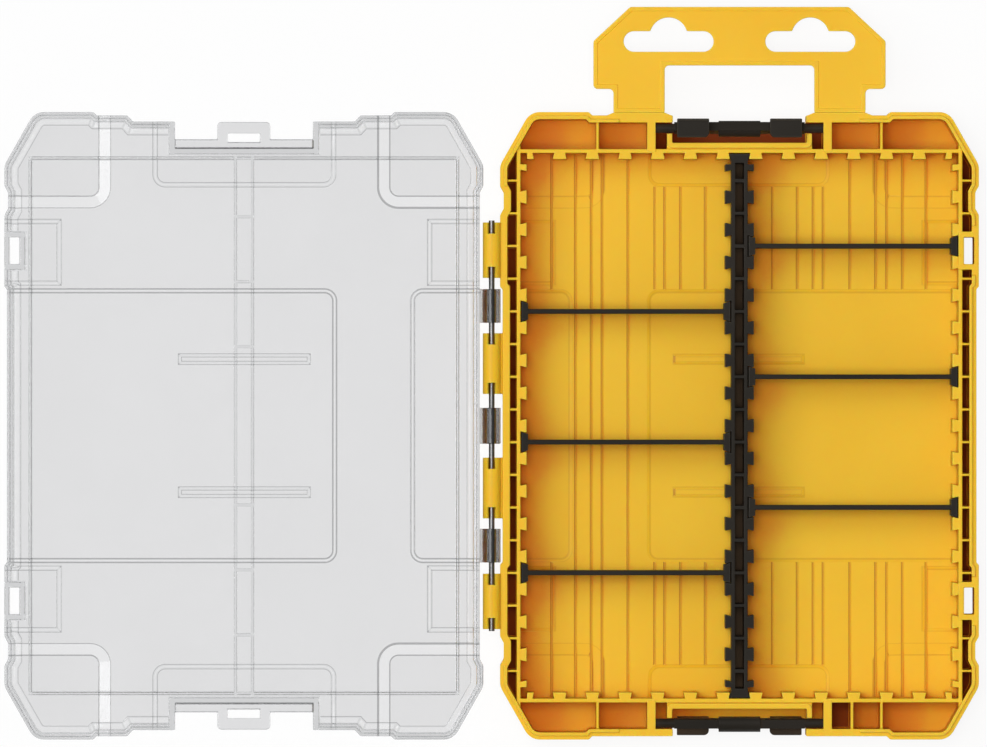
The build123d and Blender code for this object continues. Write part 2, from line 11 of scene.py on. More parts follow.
import bmesh
import bpy
import numpy as np
from bpy.types import Material, Mesh, Node, NodeSocket, NodeTree, Object
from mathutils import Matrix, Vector

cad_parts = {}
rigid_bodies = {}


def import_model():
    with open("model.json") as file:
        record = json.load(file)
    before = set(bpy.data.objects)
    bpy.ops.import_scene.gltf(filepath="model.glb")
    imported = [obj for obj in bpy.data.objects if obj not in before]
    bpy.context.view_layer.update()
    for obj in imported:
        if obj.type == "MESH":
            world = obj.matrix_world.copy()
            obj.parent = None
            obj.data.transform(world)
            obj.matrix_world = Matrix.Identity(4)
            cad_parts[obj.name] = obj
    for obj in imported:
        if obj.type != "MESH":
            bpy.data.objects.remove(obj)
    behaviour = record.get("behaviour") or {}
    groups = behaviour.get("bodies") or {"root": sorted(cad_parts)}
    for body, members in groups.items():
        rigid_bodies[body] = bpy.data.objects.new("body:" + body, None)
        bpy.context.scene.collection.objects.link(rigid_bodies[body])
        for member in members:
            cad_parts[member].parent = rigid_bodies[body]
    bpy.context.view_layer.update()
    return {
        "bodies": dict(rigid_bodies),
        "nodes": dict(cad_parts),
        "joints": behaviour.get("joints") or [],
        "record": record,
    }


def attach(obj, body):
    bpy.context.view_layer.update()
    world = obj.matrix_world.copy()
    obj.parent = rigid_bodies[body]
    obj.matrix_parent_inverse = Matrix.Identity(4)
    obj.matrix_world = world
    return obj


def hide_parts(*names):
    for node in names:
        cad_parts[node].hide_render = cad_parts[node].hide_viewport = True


log = logging.getLogger("blade_case")

Colour = tuple[float, float, float]
Point = tuple[float, float, float]
Span = tuple[float, float]
Collection = bpy.types.bpy_prop_collection

MM = 0.001
WHITE = (1.0, 1.0, 1.0, 1.0)
VALUE_SOCKET = "NodeSocketFloat"

# Blender's own name for the share of a bevel's width that each edge gets.
BEVEL_SHARE = "bevel_weight_edge"
# The material slot that tells the rounded faces from the others until the marks are stored.
ROUNDED_SLOT = 1
# Blender's strongest pull of the normals towards those of the largest faces.
EVEN_WEIGHT = 100

# The least size of a normal's Z: of a level face, of one level but for a shallow rounding, and of no wall.
LEVEL = 0.9998
NEARLY_LEVEL = 0.97
LEANING = 0.2

# How near points are to be welded, in metres, and how flat faces are to be joined.
WELD_DISTANCE = 0.000002
FLAT_ANGLE = math.radians(0.6)
# The least length or sine that is divided by, the least angle, and the least gap, which is more than a touch.
TINY = 1e-9
LEAST_ANGLE = 1e-3
LEAST_GAP = 1e-7
# How far in from an edge a corner lies at least, as a share of its gap, and the most that the product of the
# inward directions of two edges is where they look opposite ways.
INNER_SHARE = 0.5
OPPOSED = -0.3

# The side that the painted shading of deep places is worked out from: towards the key lamp, but lower than
# the lamp stands.
LIT_SIDE = (-0.81, 0.31, 0.5)
HOLLOW_SAMPLES = 6

# How finely a noise is broken up, and the angle and scale of each set of scratches, with their stretch.
FINE_DETAIL = 2.0
BROAD_DETAIL = 4.0
PLAIN_DETAIL = 1.0
SCRATCHES = ((0.5, 60.0), (-0.9, 85.0))
SCRATCH_STRETCH = (1.0, 26.0, 1.0)

# The values over which a mask fades in. The last but one is the Z of a normal, and the last is in metres.
FULL_RANGE = (0.0, 1.0)
TINT_RANGE = (0.3, 0.7)
GLOSS_RANGE = (0.1, 0.45)
STREAK_RANGE = (0.68, 0.78)
RIDGE_RANGE = (0.5, 0.56)
CREASE_RANGE = (0.5, 0.44)
HOLLOW_RANGE = (0.08, 0.35)
SHADED_RANGE = (0.48, 0.95)
UNDERSIDE_RANGE = (-0.6, -0.2)
RIM_RANGE = (0.0005, 0.004)


class Sum(Enum):
    """The arithmetic that masks are made with."""

    LESS = "SUBTRACT"
    TIMES = "MULTIPLY"
    LARGER = "MAXIMUM"


class Mark(Enum):
    """Marks that a finished mesh carries on its faces, for the finishes to read."""

    ROUNDED = "rounded"
    # Faces that get painted shade lines.
    OUTLINE = "painted_outline_shade"
    # Sloped faces, where the clear finish paints a highlight.
    SLOPED = "sloped"
    # Faces past the thick X, where the clear finish paints shade.
    THICK = "thick"
    # Floors of narrow shafts, which get painted deep shade.
    SHAFT_SHADE = "painted_shaft_shade"


def linear(*shown: int) -> Colour:
    """Takes a display colour to a linear one by the sRGB curve: a straight start, then a power of 2.4.

    Args:
        shown: The red, green and blue as displayed, from 0 to 255.

    Returns:
        The linear colour.
    """
    shares = np.array(shown) / 255.0
    straight = shares / 12.92
    curved = ((shares + 0.055) / 1.055) ** 2.4
    return tuple(float(value) for value in np.where(shares <= 0.04045, straight, curved))


def opaque(colour: Colour, share: float = 1.0) -> tuple[float, float, float, float]:
    """Returns a share of a colour, with nothing see-through in it."""
    return (*(value * share for value in colour), 1.0)


# ------------------------ shader tools


@dataclass
class Wiring:
    """A node tree with short calls for placing and joining its nodes."""

    tree: NodeTree

    def node(self, kind: str, **values: object) -> Node:
        """Returns a new node of a kind, filled with values as fill() does."""
        return self.fill(self.tree.nodes.new(kind), **values)

    def fill(self, node: Node, **values: object) -> Node:
        """Gives a node its values.

        Args:
            node: The node.
            values: Properties by name, or inputs by name with spaces as underscores.

        Returns:
            The same node.
        """
        for name, value in values.items():
            if hasattr(node, name):
                setattr(node, name, value)
            else:
                self.feed(value, node.inputs[name.replace("_", " ")])
        return node

    def feed(self, source: object, target: NodeSocket) -> None:
        """Links a socket to another, or sets the other's own value.

        Args:
            source: The socket or value that is fed in.
            target: The socket that takes it.
        """
        if isinstance(source, NodeSocket):
            self.tree.links.new(source, target)
        else:
            target.default_value = source

    def group(self, tree: NodeTree, **values: float) -> Node:
        """Returns a shared group placed here with its own input values."""
        return self.node("ShaderNodeGroup", node_tree=tree, **values)

    def mark(self, which: Mark) -> NodeSocket:
        """Returns the value of a mark on the faces."""
        return self.node("ShaderNodeAttribute", attribute_name=which.value).outputs["Fac"]

    def object_place(self) -> NodeSocket:
        """Returns the place on the object."""
        return self.node("ShaderNodeTexCoord").outputs["Object"]

    def height(self, vector: NodeSocket) -> NodeSocket:
        """Returns the Z of a place or direction."""
        return self.node("ShaderNodeSeparateXYZ", Vector=vector).outputs["Z"]

    def step(self, kind: str, entries: dict[int, object], result: int = 0, **values: object) -> NodeSocket:
        """Places a node whose inputs are fed by number.

        Args:
            kind: The node's type name.
            entries: What is fed in, by the input's number.
            result: The number of the output that is the result.
            values: Its properties by name.

        Returns:
            The result.
        """
        made = self.node(kind, **values)
        for index, entry in entries.items():
            self.feed(entry, made.inputs[index])
        return made.outputs[result]

    def math(self, operation: Sum, first: object, second: object) -> NodeSocket:
        """Returns the result of one arithmetic operation on two sockets or numbers."""
        return self.step("ShaderNodeMath", {0: first, 1: second}, operation=operation.value)

    def product(self, first: object, *others: object) -> NodeSocket:
        """Multiplies values together, each with the product of those before it.

        Args:
            first: The first socket or number.
            others: The others.

        Returns:
            The product.
        """
        for other in others:
            first = self.math(Sum.TIMES, first, other)
        return first

    def mix(self, share: object, first: object, second: object) -> NodeSocket:
        """Returns the colour between two colours, by the second's share."""
        return self.step("ShaderNodeMix", {0: share, 6: first, 7: second}, 2, data_type="RGBA")

    def blend(self, share: object, first: Node, second: Node) -> NodeSocket:
        """Returns the shader between two shaders, by the second's share."""
        return self.step("ShaderNodeMixShader", {0: share, 1: first.outputs[0], 2: second.outputs[0]})

    def span(self, value: object, over: Span, out: Span = FULL_RANGE) -> NodeSocket:
        """Returns a value carried smoothly from one range to another and held inside that."""
        entries = dict(enumerate((value, *over, *out)))
        return self.step("ShaderNodeMapRange", entries, interpolation_type="SMOOTHSTEP")

    def noise(self, where: NodeSocket, scale: object, detail: float) -> NodeSocket:
        """Returns a noise value at a place."""
        return self.node("ShaderNodeTexNoise", Vector=where, Scale=scale, Detail=detail).outputs["Fac"]

    def stretch(self, where: NodeSocket, scale: Point, turn: float = 0.0) -> NodeSocket:
        """Returns a place scaled along the axes and turned about Z by an angle."""
        turned = self.node("ShaderNodeMapping", Vector=where, Rotation=(0.0, 0.0, turn), Scale=scale)
        return turned.outputs["Vector"]


def new_group(name: str, inputs: dict[str, float], outputs: tuple[str, ...]) -> tuple[Wiring, Node, Node]:
    """Makes an empty node group whose sockets are all plain values.

    Args:
        name: The group's name.
        inputs: The inputs by name, with their defaults.
        outputs: The outputs' names.

    Returns:
        The group's wiring, its input node and its output node.
    """
    wiring = Wiring(bpy.data.node_groups.new(name, "ShaderNodeTree"))
    for label, value in inputs.items():
        socket = wiring.tree.interface.new_socket(label, in_out="INPUT", socket_type=VALUE_SOCKET)
        socket.default_value = value
    for label in outputs:
        wiring.tree.interface.new_socket(label, in_out="OUTPUT", socket_type=VALUE_SOCKET)
    return wiring, wiring.node("NodeGroupInput"), wiring.node("NodeGroupOutput")


@dataclass(frozen=True)
class Effects:
    """The shared surface effects, each a node group built once."""

    grain: NodeTree
    scuffs: NodeTree
    edges: NodeTree
    # The masks for the painted shading of deep places: shade on the yellow, warm bounce light on the black.
    painted_hollow_shading: NodeTree

    @classmethod
    def build(cls) -> Effects:
        """Returns all the groups."""
        return cls(cls.make_grain(), cls.make_scuffs(), cls.make_edges(), cls.make_painted_hollow_shading())

    @staticmethod
    def make_grain() -> NodeTree:
        """Makes the spark-eroded texture of a mould from a fine noise and a broad one.

        The height is the fine noise, the tint follows the broad one, and the gloss follows their product.

        Returns:
            The group.
        """
        sizes = {"Grain": 900.0, "Drift": 14.0}
        wiring, given, out = new_group("mould_grain", sizes, ("Height", "Tint", "Gloss"))
        where = wiring.object_place()
        fine = wiring.noise(where, given.outputs["Grain"], FINE_DETAIL)
        broad = wiring.noise(where, given.outputs["Drift"], BROAD_DETAIL)
        tint = wiring.span(broad, TINT_RANGE)
        gloss = wiring.span(wiring.product(fine, broad), GLOSS_RANGE)
        wiring.fill(out, Height=fine, Tint=tint, Gloss=gloss)
        return wiring.tree

    @staticmethod
    def make_scuffs() -> NodeTree:
        """Makes hair-fine handling scratches: the larger of two stretched noises, cut to thin streaks.

        Returns:
            The group.
        """
        wiring, given, out = new_group("handling_scuffs", {"Density": 0.5}, ("Mask",))
        where = wiring.object_place()
        streaks = []
        for angle, scale in SCRATCHES:
            value = wiring.noise(wiring.stretch(where, SCRATCH_STRETCH, angle), scale, PLAIN_DETAIL)
            streaks.append(wiring.span(value, STREAK_RANGE))
        wiring.fill(out, Mask=wiring.product(wiring.math(Sum.LARGER, *streaks), given.outputs["Density"]))
        return wiring.tree

    @staticmethod
    def make_edges() -> NodeTree:
        """Makes two masks on the rounded edges: on outer ones, which hands rub to a gloss and which get a
        painted highlight, and on inner ones, which get painted shade.

        Returns:
            The group.
        """
        amounts = {"Ridges": 0.5, "Creases": 0.5}
        wiring, given, out = new_group("rounded_edges", amounts, ("Ridge", "Crease"))
        rounded = wiring.mark(Mark.ROUNDED)
        bend = wiring.node("ShaderNodeNewGeometry").outputs["Pointiness"]
        for label, amount, over in (("Ridge", "Ridges", RIDGE_RANGE), ("Crease", "Creases", CREASE_RANGE)):
            shown = wiring.product(wiring.span(bend, over), rounded, given.outputs[amount])
            wiring.feed(shown, out.inputs[label])
        return wiring.tree

    @staticmethod
    def make_painted_hollow_shading() -> NodeTree:
        """Makes a mask of the deep places that lie away from the light, where shading is painted, and one of
        all that is below the rim.

        A place counts as hollow by how much its own normal is hidden, and as shaded by how much the lit
        side is hidden from it. The first mask is both of them, below the rim and not on an underside.

        Returns:
            The group.
        """
        wiring, given, out = new_group("painted_hollow_shading_masks", {"Reach": 0.017, "Rim": 0.032}, ("Mask", "Below"))
        lit_side = wiring.node("ShaderNodeCombineXYZ", X=LIT_SIDE[0], Y=LIT_SIDE[1], Z=LIT_SIDE[2])
        reach = {"samples": HOLLOW_SAMPLES, "Distance": given.outputs["Reach"]}
        sky = wiring.node("ShaderNodeAmbientOcclusion", **reach)
        key = wiring.node("ShaderNodeAmbientOcclusion", **reach, Normal=lit_side.outputs["Vector"])
        hollow = wiring.span(wiring.math(Sum.LESS, 1.0, sky.outputs["AO"]), HOLLOW_RANGE)
        shaded = wiring.span(wiring.math(Sum.LESS, 1.0, key.outputs["AO"]), SHADED_RANGE)
        place = wiring.node("ShaderNodeTexCoord")
        inside = wiring.span(wiring.height(place.outputs["Normal"]), UNDERSIDE_RANGE)
        depth = wiring.math(Sum.LESS, given.outputs["Rim"], wiring.height(place.outputs["Object"]))
        below = wiring.span(depth, RIM_RANGE)
        wiring.fill(out, Mask=wiring.product(hollow, shaded, below, inside), Below=below)
        return wiring.tree


def fresh_material(name: str) -> tuple[Material, Wiring, Node, Node]:
    """Makes an empty material.

    Args:
        name: The material's name.

    Returns:
        The material, its wiring, its Principled shader and its output node.
    """
    material = bpy.data.materials.new(name)
    material.use_nodes = True
    material.node_tree.nodes.clear()
    wiring = Wiring(material.node_tree)
    shader = wiring.node("ShaderNodeBsdfPrincipled")
    output = wiring.node("ShaderNodeOutputMaterial", Surface=shader.outputs["BSDF"])
    return material, wiring, shader, output


# ------------------------ finishes


@dataclass(frozen=True)
class MouldedPlastic:
    """Opaque moulded plastic: two close tints, a spark-eroded grain, glossier ridges, and painted highlights
    and shading on edges, creases, lines, hollows and shafts.
    """

    name: str
    colour: Colour
    deeper: Colour
    # Colour painted as a highlight on the outer rounded edges.
    painted_edge_highlight: Colour
    # Colour painted as shade in the inner rounded edges below the rim.
    painted_crease_shade: Colour
    # Colour of the painted shade lines on the borders of steps and the flanks of fine ribs.
    painted_outline_shade: Colour
    # Colour painted over deep places that lie away from the light: painted warm shade on the yellow, painted
    # warm bounce light on the black.
    painted_hollow_shading: Colour
    # Colour painted as deep shade on the floors of narrow shafts.
    painted_shaft_shade: Colour
    roughness: float = 0.42
    roughness_drift: float = 0.05
    specular: float = 0.35
    ior: float = 1.49
    grain_height: float = 0.00001
    grain_strength: float = 0.35
    ridges: float = 0.5
    ridge_polish: float = 0.12
    creases: float = 0.4
    # How far the painted shading of deep places looks for what hides them.
    painted_hollow_reach: float = 0.017
    scuff_density: float = 0.0
    scuff_polish: float = 0.18
    glow_weight: float = 0.0
    glow_radius: Colour = (1.0, 0.35, 0.06)
    glow_scale: float = 0.003

    def make(self, effects: Effects) -> Material:
        """Makes the material: the two tints, then each mask's colour laid over them in turn.

        Args:
            effects: The shared effects.

        Returns:
            The material.
        """
        material, wiring, shader, _ = fresh_material(self.name)
        grain = wiring.group(effects.grain)
        edge = wiring.group(effects.edges, Ridges=self.ridges, Creases=self.creases)
        # The masks where shading is painted in deep places.
        hollow = wiring.group(effects.painted_hollow_shading, Reach=self.painted_hollow_reach)
        colour = wiring.mix(grain.outputs["Tint"], opaque(self.deeper), opaque(self.colour))
        # Each colour laid over here is painted light or shade: shading in deep places, deep shade in shafts,
        # a highlight on ridges, shade in creases and on lines.
        layers = (
            (hollow.outputs["Mask"], self.painted_hollow_shading),
            (wiring.mark(Mark.SHAFT_SHADE), self.painted_shaft_shade),
            (edge.outputs["Ridge"], self.painted_edge_highlight),
            (wiring.product(edge.outputs["Crease"], hollow.outputs["Below"]), self.painted_crease_shade),
            (wiring.mark(Mark.OUTLINE), self.painted_outline_shade),
        )
        for mask, laid_over in layers:
            colour = wiring.mix(mask, colour, opaque(laid_over))
        polish = [(edge.outputs["Ridge"], self.ridge_polish)]
        if self.scuff_density > 0.0:
            scuff = wiring.group(effects.scuffs, Density=self.scuff_density)
            polish.append((scuff.outputs["Mask"], self.scuff_polish))
        drift = (self.roughness - self.roughness_drift, self.roughness + self.roughness_drift)
        rough = wiring.span(grain.outputs["Gloss"], FULL_RANGE, drift)
        for mask, amount in polish:
            rough = wiring.math(Sum.LESS, rough, wiring.product(mask, amount))
        bump = wiring.node(
            "ShaderNodeBump",
            Strength=self.grain_strength,
            Distance=self.grain_height,
            Height=grain.outputs["Height"],
        )
        wiring.fill(shader, Base_Color=colour, Roughness=rough, Normal=bump.outputs["Normal"])
        wiring.fill(shader, IOR=self.ior, Specular_IOR_Level=self.specular)
        if self.glow_weight > 0.0:
            wiring.fill(
                shader,
                subsurface_method="RANDOM_WALK",
                Subsurface_Weight=self.glow_weight,
                Subsurface_Radius=self.glow_radius,
                Subsurface_Scale=self.glow_scale,
            )
        return material


@dataclass(frozen=True)
class ClearPlastic:
    """Clear moulded plastic with painted shade on its rounded edges, outlines and thick parts and a painted
    highlight on its slopes, with fine scuffs; lamps shine through it.
    """

    name: str
    colour: Colour
    # Tints painted over the glass: shade on rounded edges, dark shade lines, a highlight on sloped faces, and
    # shade on thick parts.
    edge: Colour
    painted_outline_shade: Colour
    slope: Colour
    thick: Colour
    tint_drift: float = 0.985
    roughness: float = 0.03
    scuff_roughness: float = 0.1
    scuff_density: float = 0.6
    grain: float = 300.0
    drift: float = 30.0
    ior: float = 1.54
    shadow: Colour = (0.97, 0.97, 0.97)
    absorbed: Colour = (0.0, 0.03, 0.04)
    density: float = 8.0

    def make(self, effects: Effects) -> Material:
        """Makes the material: glass with each mark's tint laid over it in turn, and nearly nothing to a lamp.

        Args:
            effects: The shared effects.

        Returns:
            The material.
        """
        material, wiring, shader, output = fresh_material(self.name)
        grain = wiring.group(effects.grain, Grain=self.grain, Drift=self.drift)
        scuff = wiring.group(effects.scuffs, Density=self.scuff_density)
        tint = wiring.mix(grain.outputs["Tint"], opaque(self.colour), opaque(self.colour, self.tint_drift))
        # Painted highlight on slopes, painted shade on rounded edges, outlines and thick parts, laid over in
        # turn.
        layers = (
            (Mark.SLOPED, self.slope),
            (Mark.ROUNDED, self.edge),
            (Mark.OUTLINE, self.painted_outline_shade),
            (Mark.THICK, self.thick),
        )
        for which, laid_over in layers:
            tint = wiring.mix(wiring.mark(which), tint, opaque(laid_over))
        scuffed = (self.roughness, self.roughness + self.scuff_roughness)
        rough = wiring.span(scuff.outputs["Mask"], FULL_RANGE, scuffed)
        wiring.fill(shader, Base_Color=tint, Roughness=rough, IOR=self.ior, Transmission_Weight=1.0)
        path = wiring.node("ShaderNodeLightPath")
        clear = wiring.node("ShaderNodeBsdfTransparent", Color=opaque(self.shadow))
        dim = wiring.node("ShaderNodeVolumeAbsorption", Color=opaque(self.absorbed), Density=self.density)
        surface = wiring.blend(path.outputs["Is Shadow Ray"], shader, clear)
        wiring.fill(output, Surface=surface, Volume=dim.outputs["Volume"])
        return material


@dataclass(frozen=True)
class DrawnSteel:
    """Plain drawn steel rod with fine lengthwise marks."""

    name: str
    colour: Colour
    shade: float = 0.7
    roughness: Span = (0.22, 0.42)
    marks_scale: float = 2600.0
    marks_stretch: Point = (1.0, 0.04, 1.0)

    def make(self, effects: Effects) -> Material:
        """Makes the material: noise stretched along the rod tints it and turns its gloss.

        Args:
            effects: The shared effects, none of which a bare rod has.

        Returns:
            The material.
        """
        material, wiring, shader, _ = fresh_material(self.name)
        along = wiring.stretch(wiring.object_place(), self.marks_stretch)
        marks = wiring.noise(along, self.marks_scale, FINE_DETAIL)
        tint = wiring.mix(marks, opaque(self.colour, self.shade), opaque(self.colour))
        rough = wiring.span(marks, TINT_RANGE, self.roughness)
        wiring.fill(shader, Base_Color=tint, Roughness=rough, Metallic=1.0)
        return material


YELLOW = MouldedPlastic(
    "yellow_polypropylene",
    colour=linear(240, 194, 50),
    deeper=linear(237, 188, 44),
    # Painted tints follow: a highlight on outer rounded edges, shade in creases and lines, warm shade in deep
    # places, deep shade in shafts.
    painted_edge_highlight=linear(252, 216, 84),
    painted_crease_shade=linear(214, 140, 34),
    painted_outline_shade=linear(178, 108, 22),
    painted_hollow_shading=linear(228, 130, 34),
    painted_shaft_shade=linear(136, 58, 14),
    specular=0.22,
    glow_weight=0.5,
    glow_scale=0.002,
)
BLACK = MouldedPlastic(
    "black_polypropylene",
    colour=linear(42, 38, 33),
    deeper=linear(34, 31, 26),
    # Painted tints follow: a highlight on outer rounded edges, shade in creases and lines, warm bounce light
    # in deep places; it has no shafts.
    painted_edge_highlight=linear(68, 64, 57),
    painted_crease_shade=linear(16, 15, 13),
    painted_outline_shade=linear(16, 15, 13),
    painted_hollow_shading=linear(82, 66, 50),
    painted_shaft_shade=linear(82, 66, 50),
    roughness=0.45,
    specular=0.12,
    scuff_density=0.6,
)
CLEAR = ClearPlastic(
    "clear_polycarbonate",
    colour=linear(229, 229, 230),
    # Painted tints follow: shade on rounded edges and lines, a highlight on slopes, shade on the thick
    # knuckles.
    edge=linear(222, 223, 224),
    painted_outline_shade=linear(136, 137, 138),
    slope=linear(246, 246, 247),
    thick=linear(150, 150, 152),
)
STEEL = DrawnSteel("drawn_steel", colour=linear(150, 150, 150))


@dataclass(frozen=True)
class Finishes:
    """Every finish of the case."""

    yellow: Material
    black: Material
    clear: Material
    steel: Material

    @classmethod
    def build(cls, effects: Effects) -> Finishes:
        """Returns the four materials, made with the shared effects."""
        return cls(*(finish.make(effects) for finish in (YELLOW, BLACK, CLEAR, STEEL)))


# ------------------------ meshes


def read_array(items: Collection, name: str, width: int, kind: type = np.float32) -> np.ndarray:
    """Reads one property of every item.

    Args:
        items: The collection to read.
        name: The property.
        width: How many numbers it has.
        kind: The number type.

    Returns:
        An array with a row for each item, or a flat one where width is 1.
    """
    values = np.empty(len(items) * width, dtype=kind)
    items.foreach_get(name, values)
    return values.reshape(-1, width) if width > 1 else values


def face_spans(mesh: Mesh) -> np.ndarray:
    """Works out how far each face reaches along X and Y: its corners' largest values less their smallest.

    Args:
        mesh: The mesh, with each face's corners stored in the order of the faces.

    Returns:
        An array with the two lengths of each face.
    """
    starts = read_array(mesh.polygons, "loop_start", 1, np.int32)
    corners = read_array(mesh.vertices, "co", 3)[read_array(mesh.loops, "vertex_index", 1, np.int32), :2]
    return np.maximum.reduceat(corners, starts) - np.minimum.reduceat(corners, starts)


@dataclass(frozen=True)
class Corners:
    """Every corner of every face of a mesh, and its faces, edges and points, as whole arrays.

    Attributes:
        face: Each corner's face.
        point: Each corner's point.
        edge: The edge that runs on from each corner.
        before: The corner before each one in its face.
        onward: The way from each corner to the next.
        angle: The angle inside the face at each corner, from 0 to a full turn.
        first, count, normal: Each face's first corner, number of corners and normal.
        place: Each point's place.
        ends, length: Each edge's two points and its length.
    """

    face: np.ndarray
    point: np.ndarray
    edge: np.ndarray
    before: np.ndarray
    onward: np.ndarray
    angle: np.ndarray
    first: np.ndarray
    count: np.ndarray
    normal: np.ndarray
    place: np.ndarray
    ends: np.ndarray
    length: np.ndarray

    @classmethod
    def read(cls, mesh: Mesh) -> Corners:
        """Reads a mesh, and works out each corner's angle from its two edges' cross and dot products.

        Args:
            mesh: The mesh.

        Returns:
            Its corners.
        """
        count = read_array(mesh.polygons, "loop_total", 1, np.int32)
        first = read_array(mesh.polygons, "loop_start", 1, np.int32)
        normal = read_array(mesh.polygons, "normal", 3).astype(float)
        point = read_array(mesh.loops, "vertex_index", 1, np.int32)
        place = read_array(mesh.vertices, "co", 3).astype(float)
        ends = read_array(mesh.edges, "vertices", 2, np.int32)
        face = np.repeat(np.arange(len(count)), count)
        before, after = np.arange(len(point)) - 1, np.arange(len(point)) + 1
        before[first] = first + count - 1
        after[first + count - 1] = first
        onward = place[point[after]] - place[point]
        backward = place[point[before]] - place[point]
        turn = (np.cross(onward, backward) * normal[face]).sum(axis=1)
        return cls(
            face=face,
            point=point,
            edge=read_array(mesh.loops, "edge_index", 1, np.int32),
            before=before,
            onward=onward,
            angle=np.arctan2(turn, (onward * backward).sum(axis=1)) % (2 * np.pi),
            first=first,
            count=count,
            normal=normal,
            place=place,
            ends=ends,
            length=np.linalg.norm(place[ends[:, 0]] - place[ends[:, 1]], axis=1),
        )

    def turning_edges(self, least_turn: float, least_slope: float) -> np.ndarray:
        """Finds the edges that a mould would show, by the angle between the normals of their two faces.

        Args:
            least_turn: The angle between its two faces that makes an edge show.
            least_slope: The smaller angle that is enough where just one of the faces is level.

        Returns:
            Which edges show.
        """
        order = np.argsort(self.edge, kind="stable")
        pair = np.searchsorted(self.edge[order], np.arange(len(self.ends)))
        joined = np.bincount(self.edge, minlength=len(self.ends)) == 2
        one = self.face[order[pair[joined]]]
        other = self.face[order[pair[joined] + 1]]
        level = np.abs(self.normal[:, 2]) > LEVEL
        between = (self.normal[one] * self.normal[other]).sum(axis=1)
        turning = np.zeros(len(self.ends), dtype=bool)
        turning[joined] = (between < math.cos(least_turn)) | (
            (level[one] != level[other]) & (between < math.cos(least_slope))
        )
        return turning

    def facing_edges(self, turning: np.ndarray, reach: float) -> tuple[np.ndarray, np.ndarray, np.ndarray]:
        """Finds the corners that lie close across a face from a turning edge of the same face.

        Every corner is paired with every edge of its face. A pair counts where the gap is under
        reach, the corner lies on the edge's inner side, and one of the corner's own turning edges
        looks the other way.

        Args:
            turning: Which edges turn.
            reach: The widest gap that counts.

        Returns:
            The corners' points, the edges across from them and the gaps.
        """
        repeats = self.count[self.face]
        corner = np.repeat(np.arange(len(self.face)), repeats)
        step = np.arange(len(corner)) - np.repeat(np.cumsum(repeats) - repeats, repeats)
        across = self.first[self.face[corner]] + step
        turns_on, turns_back = turning[self.edge], turning[self.edge[self.before]]
        apart = (across != corner) & (across != self.before[corner])
        kept = apart & turning[self.edge[across]] & (turns_on | turns_back)[corner]
        corner, across = corner[kept], across[kept]
        along = self.onward / np.maximum(np.linalg.norm(self.onward, axis=1), TINY)[:, None]
        inward = np.cross(self.normal[self.face], along)
        offset = self.place[self.point[corner]] - self.place[self.point[across]]
        run = np.clip((offset * along[across]).sum(axis=1), 0.0, self.length[self.edge[across]])
        gap = np.linalg.norm(offset - run[:, None] * along[across], axis=1)
        inner = (offset * inward[across]).sum(axis=1) > INNER_SHARE * gap
        on_opposed = turns_on[corner] & ((inward[corner] * inward[across]).sum(axis=1) < OPPOSED)
        inward_before = inward[self.before[corner]]
        back_opposed = turns_back[corner] & ((inward_before * inward[across]).sum(axis=1) < OPPOSED)
        close = (gap < reach) & (gap > LEAST_GAP) & inner & (on_opposed | back_opposed)
        return self.point[corner[close]], self.edge[across[close]], gap[close]


